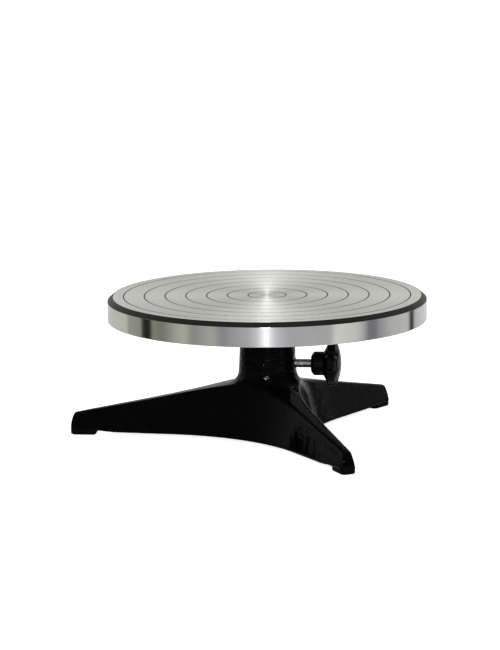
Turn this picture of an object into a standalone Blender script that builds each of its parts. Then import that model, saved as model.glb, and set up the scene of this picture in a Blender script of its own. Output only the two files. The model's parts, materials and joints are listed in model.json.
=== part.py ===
"""Bench turntable: a grooved aluminium head on a spindle and two ball bearings in a
three-legged cast base, with a lobed clamp screw that brakes the spindle.

Heights are measured up from the bench and angles from +X, which points along the clamp
screw. The frame's origin is the centre of the head's top face, so the parts hang from an
empty that is TABLE_HEIGHT below it.
"""

import math

import bmesh
import bpy
from mathutils import Matrix, Vector

MM = 0.001
GAP = 0.3 * MM  # left between pieces that touch

# Driving dimensions
TABLE_HEIGHT = 136 * MM
HEAD_RADIUS = 150 * MM
RIM_BOTTOM = 113.3 * MM
EDGE_WIDTH = 4.7 * MM  # the black edge ring's conical face, seen from above
EDGE_DROP = 3.8 * MM
GROOVE_FIRST = 17.8 * MM
GROOVE_PITCH = 19.5 * MM
GROOVE_COUNT = 7
LEG_COUNT = 3
LEG_REACH = 188.7 * MM
FOOT_THICKNESS = 4.3 * MM
HUB_TOP = 106 * MM
SCREW_HEIGHT = 71.2 * MM
SPINDLE_RADIUS = 8.5 * MM

# Head
PLATE_THICKNESS = 8 * MM
RIM_WALL = 6.5 * MM
GROOVE_HALF_WIDTH = 0.5 * MM
GROOVE_DEPTH = 0.5 * MM
BOSS_RADIUS = 24 * MM
BOSS_BOTTOM = 116 * MM
SPIGOT_RADIUS = 10 * MM
SPIGOT_HEIGHT = 6 * MM

# Cast base
HUB_TOP_RADIUS = 25.2 * MM
HUB_DRAFT = math.tan(math.radians(3))
LEG_TIP_TOP = 20.8 * MM
LEG_TIP_RADIUS = 185.3 * MM  # where the leg's top line ends
LEG_TOP_SLOPE = 0.203
LEG_SWEEP = 5 * MM  # how far the leg's top curves up above its straight line at the axis
LEG_SWEEP_START = 125 * MM
LEG_HALF_WIDTH_AT_AXIS = 22.7 * MM  # the leg's straight side, carried on to the centre
LEG_SIDE_TAPER = 0.0805
HOLLOW_REACH = 140 * MM  # how far the hollow under a leg runs out
WEB_RADIUS = 43 * MM  # from the centre to the wall between two legs
WALL_DRAFT = math.tan(math.radians(13))
WALL = 4.5 * MM
TUBE_RADIUS = 25 * MM
TUBE_BOTTOM = 8 * MM
FILLET = 13 * MM
SKIRT_BOTTOM = 3.4 * MM  # between the feet the casting hangs lower than it does over them
SKIRT_STEP = 146 * MM
SKIRT_STEP_LENGTH = 12 * MM

# Bearings, 17 x 40 x 12 mm with eight balls
RACE_OUTER_RADIUS = 20 * MM
BEARING_WIDTH = 12 * MM
BALL_RADIUS = 3.375 * MM
BALL_CIRCLE = 14.25 * MM
BALL_COUNT = 8
BORE_RADIUS = 15 * MM
UPPER_BEARING = 96.7 * MM
LOWER_BEARING = 23.7 * MM
SLEEVE_RADIUS = 12 * MM

# Spindle flange and its screws
FLANGE_RADIUS = 22 * MM
FLANGE_THICKNESS = 7.2 * MM
SHOULDER_RADIUS = 11 * MM
SPINDLE_END = 12.5 * MM
BOLT_CIRCLE = 16 * MM
BOLT_COUNT = 4
BOLT_RADIUS = 2.5 * MM
BOLT_HEAD_RADIUS = 4.8 * MM
BOLT_HEAD_HEIGHT = 2.6 * MM
BOLT_LENGTH = 14 * MM

# Clamp screw, measured out from the spindle's axis
STUD_RADIUS = 4 * MM
PAD_RADIUS = 3 * MM
PAD_CLEARANCE = 1.25 * MM
PAD_LENGTH = 4 * MM
COLLAR_START = 41.7 * MM
COLLAR_RADIUS = 11.25 * MM
FLARE_START = 53.3 * MM
KNOB_RIM_START = 57.3 * MM
KNOB_RIM_END = 65.2 * MM
KNOB_END = 69.7 * MM
KNOB_RADIUS = 21 * MM
LOBE_COUNT = 7

FINE_STEPS = 48
STEPS = 24

COLOURS = {
    "turned_aluminium": ((0.72, 0.72, 0.70, 1), 0.28, 1.0),
    "black_edge": ((0.02, 0.02, 0.02, 1), 0.35, 0.0),
    "black_casting": ((0.01, 0.01, 0.01, 1), 0.2, 0.0),
    "rubber": ((0.015, 0.015, 0.015, 1), 0.8, 0.0),
    "steel": ((0.6, 0.61, 0.62, 1), 0.25, 1.0),
    "zinc_plate": ((0.66, 0.68, 0.7, 1), 0.25, 1.0),
    "nylon": ((0.85, 0.83, 0.76, 1), 0.5, 0.0),
    "black_plastic": ((0.012, 0.012, 0.012, 1), 0.25, 0.0),
}


# ---- helpers -------------------------------------------------------------------------


def clear_scene():
    for obj in list(bpy.data.objects):
        bpy.data.objects.remove(obj)


def new_collection(name):
    collection = bpy.data.collections.new(name)
    bpy.context.scene.collection.children.link(collection)
    return collection


def make_materials():
    made = {}
    for name, (colour, roughness, metallic) in COLOURS.items():
        material = bpy.data.materials.new(name)
        material.use_nodes = True
        shader = material.node_tree.nodes["Principled BSDF"]
        shader.inputs["Base Color"].default_value = colour
        shader.inputs["Roughness"].default_value = roughness
        shader.inputs["Metallic"].default_value = metallic
        made[name] = material
    return made


def add(mesh, name, material, parent, collection):
    obj = bpy.data.objects.new(name, mesh)
    collection.objects.link(obj)
    obj.parent = parent
    if material:
        mesh.materials.append(material)
    else:
        obj.hide_render = True
        obj.display_type = "WIRE"
    return obj


def turned(name, profile, steps, material, parent, collection, closed=True):
    """A profile of (radius, height) points turned about Z. It runs down the outer side."""
    count = len(profile)
    edges = [(i, i + 1) for i in range(count - 1)]
    if closed:
        edges.append((count - 1, 0))
    mesh = bpy.data.meshes.new(name)
    mesh.from_pydata([(r, 0, z) for r, z in profile], edges, [])
    obj = add(mesh, name, material, parent, collection)
    screw = obj.modifiers.new("turn", "SCREW")
    screw.axis = "Z"
    screw.steps = screw.render_steps = steps
    screw.use_merge_vertices = True
    screw.merge_threshold = 0.00001
    screw.use_smooth_shade = True
    return obj


def cylinder(name, radius, depth, sides, location, parent, collection, turn=None):
    """A cutter. turn is a rotation about Y, which lays it along X."""
    mesh = bpy.data.meshes.new(name)
    bm = bmesh.new()
    bmesh.ops.create_cone(
        bm, cap_ends=True, segments=sides, radius1=radius, radius2=radius, depth=depth
    )
    bm.to_mesh(mesh)
    bm.free()
    obj = add(mesh, name, None, parent, collection)
    obj.location = location
    if turn is not None:
        obj.rotation_euler = (0, turn, 0)
    return obj


def cut(obj, *cutters, operation="DIFFERENCE"):
    for cutter in cutters:
        boolean = obj.modifiers.new(cutter.name, "BOOLEAN")
        boolean.operation = operation
        boolean.object = cutter
        boolean.solver = "EXACT"


def arc(centre, radius, start, end, count):
    """Points on an arc, angles in degrees from the radial direction."""
    points = []
    for i in range(count + 1):
        a = math.radians(start + (end - start) * i / count)
        points.append((centre[0] + radius * math.cos(a), centre[1] + radius * math.sin(a)))
    return points


def rounded(before, corner, after, radius, count):
    """The corner between two straight lines, replaced by a tangent arc."""
    corner = Vector(corner)
    u = (Vector(before) - corner).normalized()
    v = (Vector(after) - corner).normalized()
    half = u.angle(v) / 2
    centre = corner + (u + v).normalized() * (radius / math.sin(half))
    first = corner + u * (radius / math.tan(half))
    last = corner + v * (radius / math.tan(half))
    turn = (first - centre).angle_signed(last - centre)
    points = []
    for i in range(count + 1):
        spoke = first - centre
        spoke.rotate(Matrix.Rotation(-turn * i / count, 2))
        points.append(tuple(centre + spoke))
    return points


def lay_along_x(obj):
    """Turns a piece made about Z so that its Z points along +X at the screw's height."""
    obj.rotation_euler = (0, math.pi / 2, 0)
    obj.location = (0, 0, SCREW_HEIGHT)


# ---- head ----------------------------------------------------------------------------


def head_profile():
    seat = HEAD_RADIUS - EDGE_WIDTH - GAP
    points = [(0, TABLE_HEIGHT)]
    for i in range(GROOVE_COUNT):
        r = GROOVE_FIRST + i * GROOVE_PITCH
        points += [
            (r - GROOVE_HALF_WIDTH, TABLE_HEIGHT),
            (r, TABLE_HEIGHT - GROOVE_DEPTH),
            (r + GROOVE_HALF_WIDTH, TABLE_HEIGHT),
        ]
    rebate = TABLE_HEIGHT - EDGE_DROP - GAP
    under = TABLE_HEIGHT - PLATE_THICKNESS
    chamfer = 1 * MM
    inside = HEAD_RADIUS - RIM_WALL
    bore = SPIGOT_RADIUS + GAP
    points += [
        (seat, TABLE_HEIGHT),
        (seat, rebate),
        (HEAD_RADIUS, rebate),
        (HEAD_RADIUS, RIM_BOTTOM + chamfer),
        (HEAD_RADIUS - chamfer, RIM_BOTTOM),
        (inside, RIM_BOTTOM),
        (inside - chamfer, under - 3 * chamfer),
        (inside - 4 * chamfer, under),
        (BOSS_RADIUS + 4 * chamfer, under),
        (BOSS_RADIUS + chamfer, under - 3 * chamfer),
        (BOSS_RADIUS, BOSS_BOTTOM),
        (bore, BOSS_BOTTOM),
        (bore, BOSS_BOTTOM + SPIGOT_HEIGHT + GAP),
        (0, BOSS_BOTTOM + SPIGOT_HEIGHT + GAP),
    ]
    return points


def bolt_spots():
    turns = [2 * math.pi * (i + 0.5) / BOLT_COUNT for i in range(BOLT_COUNT)]
    return [(BOLT_CIRCLE * math.cos(a), BOLT_CIRCLE * math.sin(a)) for a in turns]


def make_head(kit):
    materials, parts, tools, root = kit
    head = turned(
        "head_plate", head_profile(), FINE_STEPS, materials["turned_aluminium"], root,
        parts, closed=False,
    )
    hole_depth = BOLT_LENGTH - FLANGE_THICKNESS + 2 * MM
    for i, (x, y) in enumerate(bolt_spots()):
        spot = (x, y, BOSS_BOTTOM + hole_depth / 2 - 1 * MM)
        size = (BOLT_RADIUS + GAP, hole_depth, 16)
        cut(head, cylinder(f"boss_hole_{i}", *size, spot, root, tools))
    inner = HEAD_RADIUS - EDGE_WIDTH
    low = TABLE_HEIGHT - EDGE_DROP
    ring = [(inner, TABLE_HEIGHT), (HEAD_RADIUS, low), (inner, low)]
    turned("edge_ring", ring, FINE_STEPS, materials["black_edge"], root, parts)


def make_spindle(kit):
    materials, parts, tools, root = kit
    flange_top = BOSS_BOTTOM - GAP
    flange_bottom = flange_top - FLANGE_THICKNESS
    shoulder = UPPER_BEARING + BEARING_WIDTH / 2 + GAP
    groove_top = LOWER_BEARING - BEARING_WIDTH / 2 - 0.2 * MM
    groove_bottom = groove_top - 1.6 * MM
    neck = SPINDLE_RADIUS - 1 * MM
    chamfer = 0.5 * MM
    profile = [
        (0, BOSS_BOTTOM + SPIGOT_HEIGHT - chamfer),
        (SPIGOT_RADIUS, BOSS_BOTTOM + SPIGOT_HEIGHT - chamfer),
        (SPIGOT_RADIUS, flange_top),
        (FLANGE_RADIUS, flange_top),
        (FLANGE_RADIUS, flange_bottom),
        (SHOULDER_RADIUS, flange_bottom),
        (SHOULDER_RADIUS, shoulder),
        (SPINDLE_RADIUS, shoulder),
        (SPINDLE_RADIUS, groove_top),
        (neck, groove_top),
        (neck, groove_bottom),
        (SPINDLE_RADIUS, groove_bottom),
        (SPINDLE_RADIUS, SPINDLE_END + chamfer),
        (SPINDLE_RADIUS - chamfer, SPINDLE_END),
        (0, SPINDLE_END),
    ]
    spindle = turned(
        "spindle", profile, STEPS, materials["steel"], root, parts, closed=False
    )
    low = flange_bottom - 1 * MM
    sink = [
        (0, flange_top + 1 * MM),
        (BOLT_RADIUS + GAP, flange_top + 1 * MM),
        (BOLT_RADIUS + GAP, flange_bottom + BOLT_HEAD_HEIGHT),
        (BOLT_HEAD_RADIUS + GAP, flange_bottom),
        (BOLT_HEAD_RADIUS + GAP, low),
        (0, low),
    ]
    bolt = [
        (0, flange_bottom + BOLT_LENGTH),
        (BOLT_RADIUS, flange_bottom + BOLT_LENGTH),
        (BOLT_RADIUS, flange_bottom + BOLT_HEAD_HEIGHT),
        (BOLT_HEAD_RADIUS, flange_bottom + GAP),
        (0, flange_bottom + GAP),
    ]
    key_depth = 2 * MM
    for i, (x, y) in enumerate(bolt_spots()):
        hole = turned(f"flange_hole_{i}", sink, 16, None, root, tools, closed=False)
        hole.location = (x, y, 0)
        cut(spindle, hole)
        screw = turned(
            f"flange_screw_{i + 1}", bolt, 16, materials["zinc_plate"], root, parts,
            closed=False,
        )
        screw.location = (x, y, 0)
        spot = (x, y, flange_bottom + GAP)
        key = cylinder(f"hex_key_{i}", 1.6 * MM, 2 * key_depth, 6, spot, root, tools)
        cut(screw, key)
    ring_top = groove_top - GAP / 2
    ring_bottom = groove_bottom + GAP / 2
    ring = [
        (SPINDLE_RADIUS + 2.5 * MM, ring_top),
        (SPINDLE_RADIUS + 2.5 * MM, ring_bottom),
        (neck + GAP, ring_bottom),
        (neck + GAP, ring_top),
    ]
    clip = turned("spindle_circlip", ring, STEPS, materials["steel"], root, parts)
    gap_spot = (SPINDLE_RADIUS + 1 * MM, 0, (ring_top + ring_bottom) / 2)
    mouth = cylinder("circlip_mouth", 2.5 * MM, 6 * MM, 4, gap_spot, root, tools)
    mouth.scale = (1.6, 1, 1)
    cut(clip, mouth)


# ---- bearings ------------------------------------------------------------------------


def race_profiles(height):
    """(outer race, inner race, cage) profiles of a bearing centred on this height."""
    half = BEARING_WIDTH / 2
    track = BALL_RADIUS + GAP
    land = 2.4 * MM  # from the ball circle to each race's shoulder
    reach = math.degrees(math.acos(land / track))
    centre = (BALL_CIRCLE, height)
    outer = [
        (RACE_OUTER_RADIUS, height + half),
        (RACE_OUTER_RADIUS, height - half),
        (BALL_CIRCLE + land, height - half),
        *arc(centre, track, -reach, reach, 4),
        (BALL_CIRCLE + land, height + half),
    ]
    inner = [
        (BALL_CIRCLE - land, height + half),
        *arc(centre, track, 180 - reach, 180 + reach, 4),
        (BALL_CIRCLE - land, height - half),
        (SPINDLE_RADIUS + GAP, height - half),
        (SPINDLE_RADIUS + GAP, height + half),
    ]
    wall = 0.9 * MM
    tall = BALL_RADIUS + 1.3 * MM
    cage = [
        (BALL_CIRCLE + wall, height + tall),
        (BALL_CIRCLE + wall, height - tall),
        (BALL_CIRCLE - wall, height - tall),
        (BALL_CIRCLE - wall, height + tall),
    ]
    return outer, inner, cage


def ball_mesh():
    mesh = bpy.data.meshes.new("ball")
    bm = bmesh.new()
    bmesh.ops.create_uvsphere(bm, u_segments=8, v_segments=5, radius=BALL_RADIUS)
    for face in bm.faces:
        face.smooth = True
    bm.to_mesh(mesh)
    bm.free()
    return mesh


def make_bearing(kit, name, height):
    materials, parts, tools, root = kit
    outer, inner, ring = race_profiles(height)
    steel = materials["steel"]
    turned(f"{name}_outer_race", outer, STEPS, steel, root, parts)
    turned(f"{name}_inner_race", inner, STEPS, steel, root, parts)
    cage = turned(f"{name}_cage", ring, STEPS, materials["nylon"], root, parts)
    for i in range(BALL_COUNT):
        turn = 2 * math.pi * i / BALL_COUNT
        spot = (BALL_CIRCLE * math.cos(turn), BALL_CIRCLE * math.sin(turn), height)
        ball = add(ball_mesh(), f"{name}_ball_{i + 1}", steel, root, parts)
        ball.location = spot
        pocket = cylinder(
            f"{name}_pocket_{i}", BALL_RADIUS + GAP, 6 * MM, 12, spot, root, tools
        )
        pocket.rotation_euler = (0, math.pi / 2, turn)
        cut(cage, pocket)


def make_sleeve_and_seals(kit):
    materials, parts, _, root = kit
    half = BEARING_WIDTH / 2
    top = UPPER_BEARING - half - GAP
    bottom = LOWER_BEARING + half + GAP
    bore = SPINDLE_RADIUS + GAP
    sleeve = [(SLEEVE_RADIUS, top), (SLEEVE_RADIUS, bottom), (bore, bottom), (bore, top)]
    turned("spacer_sleeve", sleeve, STEPS, materials["steel"], root, parts)
    low = UPPER_BEARING + half + 2 * GAP
    lip = SHOULDER_RADIUS + 2 * GAP
    seal = [
        (RACE_OUTER_RADIUS, HUB_TOP - GAP),
        (RACE_OUTER_RADIUS, low),
        (lip + 2 * MM, low),
        (lip, HUB_TOP - GAP),
    ]
    turned("hub_dust_seal", seal, STEPS, materials["rubber"], root, parts)
    rim = TUBE_BOTTOM + GAP
    wall = 1.5 * MM
    cap = [
        (0, rim + wall),
        (RACE_OUTER_RADIUS - wall, rim + wall),
        (RACE_OUTER_RADIUS - wall, rim + 3 * wall),
        (RACE_OUTER_RADIUS, rim + 3 * wall),
        (RACE_OUTER_RADIUS, rim),
        (0, rim),
    ]
    turned(
        "hub_end_cap", cap, STEPS, materials["black_plastic"], root, parts, closed=False
    )


# ---- cast base -----------------------------------------------------------------------


def leg_line(radius):
    """Height of the straight part of a leg's top, carried on to the axis."""
    return LEG_TIP_TOP + LEG_TOP_SLOPE * (LEG_TIP_RADIUS - radius)


def leg_top(radius):
    """Height of a leg's top, which sweeps up above the straight line near the hub."""
    return leg_line(radius) + LEG_SWEEP * max(0, 1 - radius / LEG_SWEEP_START) ** 2


def hub_radius(height):
    return HUB_TOP_RADIUS + HUB_DRAFT * (HUB_TOP - height)


def casting_profile():
    meet = hub_radius(leg_top(HUB_TOP_RADIUS))
    corner = (meet, leg_top(meet))
    chamfer = 1 * MM
    seat = RACE_OUTER_RADIUS + GAP
    upper_seat = UPPER_BEARING - BEARING_WIDTH / 2 - GAP
    lower_seat = LOWER_BEARING + BEARING_WIDTH / 2 + GAP
    tip = (LEG_TIP_RADIUS, LEG_TIP_TOP)
    hub_edge = (HUB_TOP_RADIUS, HUB_TOP)
    bulge = LEG_REACH - LEG_TIP_RADIUS
    widest = 6.5 * MM
    end_curve = []
    for i in range(1, 6):
        t = i / 5
        height = LEG_TIP_TOP + (widest - LEG_TIP_TOP) * t
        end_curve.append((LEG_TIP_RADIUS + bulge * math.sin(t * math.pi / 2), height))
    sweep = [(r, leg_top(r)) for r in (62 * MM, 80 * MM, 100 * MM, LEG_SWEEP_START)]
    return [
        (HUB_TOP_RADIUS - chamfer, HUB_TOP),
        (HUB_TOP_RADIUS, HUB_TOP - chamfer),
        *rounded(hub_edge, corner, sweep[0], FILLET, 7),
        *sweep,
        *rounded(sweep[-1], tip, end_curve[1], 1.2 * MM, 2),
        *end_curve[1:],
        (LEG_REACH - 0.3 * MM, FOOT_THICKNESS),
        (SKIRT_STEP + SKIRT_STEP_LENGTH, FOOT_THICKNESS),
        (SKIRT_STEP, SKIRT_BOTTOM),
        (TUBE_RADIUS, SKIRT_BOTTOM),
        (TUBE_RADIUS, TUBE_BOTTOM),
        (seat, TUBE_BOTTOM),
        (seat, lower_seat),
        (BORE_RADIUS, lower_seat),
        (BORE_RADIUS, upper_seat),
        (seat, upper_seat),
        (seat, HUB_TOP),
    ]


def scoop_outline(inset):
    """The space between two legs in plan, about +X, with its wall moved in by inset."""
    side = math.sqrt(1 + LEG_SIDE_TAPER**2)
    sin60, cos60 = math.sin(math.pi / LEG_COUNT), math.cos(math.pi / LEG_COUNT)
    centre = (WEB_RADIUS * side - LEG_HALF_WIDTH_AT_AXIS) / (
        side - sin60 - LEG_SIDE_TAPER * cos60
    )
    radius = centre - WEB_RADIUS + inset
    lean = math.degrees(math.atan(LEG_SIDE_TAPER))
    swing = 90 - 180 / LEG_COUNT - lean  # from the wall's middle to where a leg begins
    wall = arc((centre, 0), radius, 180 + swing, 180 - swing, 14)
    outside = 225 * MM
    run = outside - math.hypot(*wall[0]) / 2
    heading = math.radians(180 / LEG_COUNT + lean)
    step = Vector((math.cos(heading), math.sin(heading))) * run
    last = Vector(wall[-1]) + step
    first = Vector((last.x, -last.y))
    far = 420 * MM
    return [(far, -far), tuple(first), *wall, tuple(last), (far, far)]


def scoop(name, inset, parent, tools):
    """A cutter lofted between two outlines, so its wall leans in by the casting's draft."""
    bm = bmesh.new()
    rings = []
    for z in (-10 * MM, 80 * MM):
        outline = scoop_outline(inset + (z - SKIRT_BOTTOM) * WALL_DRAFT)
        rings.append([bm.verts.new((x, y, z)) for x, y in outline])
    low, high = rings
    bm.faces.new(low)
    bm.faces.new(high)
    for i in range(len(low)):
        bm.faces.new((low[i - 1], low[i], high[i], high[i - 1]))
    bmesh.ops.recalc_face_normals(bm, faces=bm.faces)
    mesh = bpy.data.meshes.new(name)
    bm.to_mesh(mesh)
    bm.free()
    return add(mesh, name, None, parent, tools)


def scoops(name, inset, parent, tools):
    made = []
    for i in range(LEG_COUNT):
        cutter = scoop(f"{name}_{i}", inset, parent, tools)
        cutter.rotation_euler = (0, 0, 2 * math.pi * i / LEG_COUNT)
        made.append(cutter)
    return made


def make_base(kit):
    materials, parts, tools, root = kit
    casting = turned(
        "base_casting", casting_profile(), FINE_STEPS, materials["black_casting"], root,
        parts,
    )
    cut(casting, *scoops("leg_scoop", 0, root, tools))
    inner, outer = TUBE_RADIUS, HOLLOW_REACH
    floor = -2 * MM
    hollow_profile = [
        (inner, leg_line(inner) - WALL),
        (outer, leg_line(outer) - WALL),
        (outer, floor),
        (inner, floor),
    ]
    hollow = turned("underside_hollow", hollow_profile, FINE_STEPS, None, root, tools)
    cut(hollow, *scoops("hollow_scoop", WALL, root, tools))
    cut(casting, hollow)
    hole = cylinder(
        "screw_hole", STUD_RADIUS + GAP, 30 * MM, 24, (25 * MM, 0, SCREW_HEIGHT), root,
        tools, turn=math.pi / 2,
    )
    cut(casting, hole)
    foot_radius = 175 * MM
    for i in range(LEG_COUNT):
        turn = math.pi + 2 * math.pi * i / LEG_COUNT
        spot = Vector((foot_radius * math.cos(turn), foot_radius * math.sin(turn), 0))
        make_foot(kit, i, spot, turn)
        socket_spot = spot + Vector((0, 0, FOOT_THICKNESS + 3 * MM))
        size = (3 * MM + GAP, 8 * MM, 16)
        cut(casting, cylinder(f"foot_socket_{i}", *size, socket_spot, root, tools))


def make_foot(kit, index, spot, turn):
    """A moulded rubber foot whose stem pushes into the end of a leg."""
    materials, parts, tools, root = kit
    length, width = 24.6 * MM, 14.4 * MM
    thickness = FOOT_THICKNESS - GAP
    mesh = bpy.data.meshes.new("rubber_foot")
    bm = bmesh.new()
    bmesh.ops.create_cube(bm, size=1)
    bmesh.ops.scale(bm, vec=(length, width, thickness), verts=bm.verts)
    bmesh.ops.translate(bm, vec=(1.3 * MM, 0, thickness / 2), verts=bm.verts)
    rims = [e for e in bm.edges if min(v.co.z for v in e.verts) < thickness / 2]
    bmesh.ops.bevel(bm, geom=rims, offset=1.6 * MM, segments=3, profile=0.5, affect="EDGES")
    bm.to_mesh(mesh)
    bm.free()
    foot = add(mesh, f"rubber_foot_{index + 1}", materials["rubber"], root, parts)
    foot.location = spot
    foot.rotation_euler = (0, 0, turn)
    stem_spot = spot + Vector((0, 0, FOOT_THICKNESS + 0.5 * MM))
    stem = cylinder(f"foot_stem_{index}", 3 * MM, 8 * MM, 16, stem_spot, root, tools)
    cut(foot, stem, operation="UNION")


# ---- clamp screw ---------------------------------------------------------------------


def make_clamp_screw(kit):
    materials, parts, tools, root = kit
    pad_start = SLEEVE_RADIUS + PAD_CLEARANCE
    pad_end = pad_start + PAD_LENGTH
    pad = [
        (0, pad_end),
        (PAD_RADIUS, pad_end),
        (PAD_RADIUS, pad_start + 0.5 * MM),
        (PAD_RADIUS - 0.5 * MM, pad_start),
        (0, pad_start),
    ]
    lay_along_x(
        turned("brake_pad", pad, 24, materials["nylon"], root, parts, closed=False)
    )
    stud_end = KNOB_RIM_START + 2 * MM
    stud_start = pad_end + GAP
    stud = [
        (0, stud_end),
        (STUD_RADIUS, stud_end),
        (STUD_RADIUS, stud_start + 0.6 * MM),
        (STUD_RADIUS - 0.6 * MM, stud_start),
        (0, stud_start),
    ]
    lay_along_x(
        turned("clamp_stud", stud, 24, materials["zinc_plate"], root, parts, closed=False)
    )
    make_knob(kit, stud_end)


def make_knob(kit, stud_end):
    materials, parts, tools, root = kit
    bore = STUD_RADIUS + GAP
    dome_rise = KNOB_END - KNOB_RIM_END
    dome_base = KNOB_RADIUS - 1 * MM
    dome_radius = (dome_base**2 + dome_rise**2) / (2 * dome_rise)
    dome_sweep = math.degrees(math.asin(dome_base / dome_radius))
    dome_centre = (0, KNOB_END - dome_radius)
    profile = [
        *arc(dome_centre, dome_radius, 90, 90 - dome_sweep, 5),
        (KNOB_RADIUS, KNOB_RIM_END - 1 * MM),
        (KNOB_RADIUS, KNOB_RIM_START + 1 * MM),
        (KNOB_RADIUS - 1.5 * MM, KNOB_RIM_START),
        (COLLAR_RADIUS, FLARE_START),
        *arc((COLLAR_RADIUS - 3 * MM, COLLAR_START + 3 * MM), 3 * MM, 0, -90, 3),
        (bore, COLLAR_START),
        (bore, stud_end + GAP),
        (0, stud_end + GAP),
    ]
    profile[0] = (0, KNOB_END)
    knob = turned(
        "clamp_knob", profile, 42, materials["black_plastic"], root, parts, closed=False
    )
    lay_along_x(knob)
    flute_radius = 6 * MM
    flute_distance = KNOB_RADIUS + flute_radius - 3 * MM
    length = 20 * MM
    start = FLARE_START + 1.5 * MM
    for i in range(LOBE_COUNT):
        turn = 2 * math.pi * (i + 0.5) / LOBE_COUNT
        spot = (
            start + length / 2,
            flute_distance * math.sin(turn),
            SCREW_HEIGHT + flute_distance * math.cos(turn),
        )
        flute = cylinder(
            f"knob_flute_{i}", flute_radius, length, 24, spot, root, tools,
            turn=math.pi / 2,
        )
        cut(knob, flute)


def main():
    clear_scene()
    parts = new_collection("turntable")
    tools = new_collection("cutters")
    root = bpy.data.objects.new("bench_level", None)
    root.location = (0, 0, -TABLE_HEIGHT)
    parts.objects.link(root)
    kit = (make_materials(), parts, tools, root)
    make_head(kit)
    make_spindle(kit)
    make_bearing(kit, "upper_bearing", UPPER_BEARING)
    make_bearing(kit, "lower_bearing", LOWER_BEARING)
    make_sleeve_and_seals(kit)
    make_base(kit)
    make_clamp_screw(kit)


main()
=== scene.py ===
"""Bench turntable: the fine surfaces, materials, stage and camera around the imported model."""

import json
import math

import bmesh
import bpy
from mathutils import Matrix, Vector


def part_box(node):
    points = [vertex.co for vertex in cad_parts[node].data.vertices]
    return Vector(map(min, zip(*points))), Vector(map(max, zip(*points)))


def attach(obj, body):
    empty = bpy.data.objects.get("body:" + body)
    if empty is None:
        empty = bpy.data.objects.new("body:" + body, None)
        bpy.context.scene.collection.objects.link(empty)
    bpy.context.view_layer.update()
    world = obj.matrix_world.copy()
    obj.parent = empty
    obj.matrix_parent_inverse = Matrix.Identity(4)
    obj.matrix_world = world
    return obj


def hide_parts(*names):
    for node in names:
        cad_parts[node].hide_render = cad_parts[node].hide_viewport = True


MM = 0.001
GAP = 0.3 * MM  # left between pieces that touch
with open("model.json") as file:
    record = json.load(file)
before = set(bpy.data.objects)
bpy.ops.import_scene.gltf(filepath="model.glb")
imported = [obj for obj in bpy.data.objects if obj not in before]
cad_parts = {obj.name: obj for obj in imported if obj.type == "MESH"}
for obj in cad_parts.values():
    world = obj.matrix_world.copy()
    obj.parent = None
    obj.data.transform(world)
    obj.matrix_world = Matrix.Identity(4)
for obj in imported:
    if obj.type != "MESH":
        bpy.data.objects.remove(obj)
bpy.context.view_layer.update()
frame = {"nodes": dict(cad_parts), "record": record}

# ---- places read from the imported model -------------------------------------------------

HEAD_LOW, HEAD_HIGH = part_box("head_plate")
RING_LOW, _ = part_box("edge_ring")
_, CASTING_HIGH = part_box("base_casting")
FOOT_LOW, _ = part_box("rubber_foot_1")
STUD_LOW, STUD_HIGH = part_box("clamp_stud")
KNOB_LOW, KNOB_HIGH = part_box("clamp_knob")

BENCH = FOOT_LOW.z
PLATE_TOP = HEAD_HIGH.z
RADIUS = HEAD_HIGH.x
SCREW_LEVEL = (STUD_LOW.z + STUD_HIGH.z) / 2
UPPER_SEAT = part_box("upper_bearing_outer_race")[0].z - BENCH - GAP
LOWER_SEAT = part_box("lower_bearing_outer_race")[1].z - BENCH + GAP

# ---- dimensions of the fine surfaces ---------------------------------------------------
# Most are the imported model's. LEG_SWEEP and FILLET aren't: the model has 5 and 13 mm.

GROOVE_FIRST = 17.8 * MM
GROOVE_PITCH = 19.5 * MM
GROOVE_COUNT = 7
GROOVE_POINTS = 9  # in one groove's outline
EDGE_WIDTH = 4.7 * MM
PLATE_THICKNESS = 8 * MM
RIM_WALL = 6.5 * MM
BOSS_RADIUS = 24 * MM
BOSS_BOTTOM = BENCH + 116 * MM
SPIGOT_RADIUS = 10 * MM
SPIGOT_DEPTH = 6.3 * MM
LEG_COUNT = 3
LEG_TIP_TOP = 20.8 * MM
LEG_TIP_RADIUS = 185.3 * MM
LEG_REACH = 188.7 * MM
LEG_END_LOW = 6.5 * MM  # where the curve of a leg's end stops
LEG_TOP_SLOPE = 0.203
LEG_SWEEP = 3.2 * MM
LEG_SWEEP_START = 125 * MM
LEG_HALF_WIDTH_AT_AXIS = 22.7 * MM
LEG_SIDE_TAPER = 0.0805
HOLLOW_REACH = 140 * MM
WEB_RADIUS = 43 * MM
WALL_DRAFT = math.tan(math.radians(13))
WALL = 4.5 * MM
TUBE_RADIUS = 25 * MM
TUBE_BOTTOM = 8 * MM
FOOT_THICKNESS = 4.3 * MM
SKIRT_BOTTOM = 3.4 * MM
SKIRT_STEP = 146 * MM
SKIRT_STEP_LENGTH = 12 * MM
HUB_TOP = CASTING_HIGH.z - BENCH
HUB_TOP_RADIUS = 25.2 * MM
HUB_DRAFT = math.tan(math.radians(3))
FILLET = 12 * MM
FILLET_END = 52 * MM
EDGE_ROUNDING = 1.2 * MM
SEAT_RADIUS = 20.3 * MM
BORE_RADIUS = 15 * MM
LOBE_COUNT = 7
THREAD_PITCH = 1.25 * MM
STUD_RADIUS = 4 * MM
THREAD_END = 22.5 * MM
SCREW_HOLE_RADIUS = 4.4 * MM
SCREW_HOLE_LENGTH = 30 * MM
SCREW_HOLE_CENTRE = 25 * MM
VOXEL = 1.05 * MM
END_START = 179 * MM  # past here a leg's end is rounded in plan
END_HALF_WIDTH = 7.6 * MM
END_PULL = 0.2
FOOT_INNER = 164 * MM
FOOT_OUTER = 188.5 * MM
FOOT_HALF_WIDTH = 7.2 * MM
FOOT_CORNER = 2.5 * MM
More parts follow.
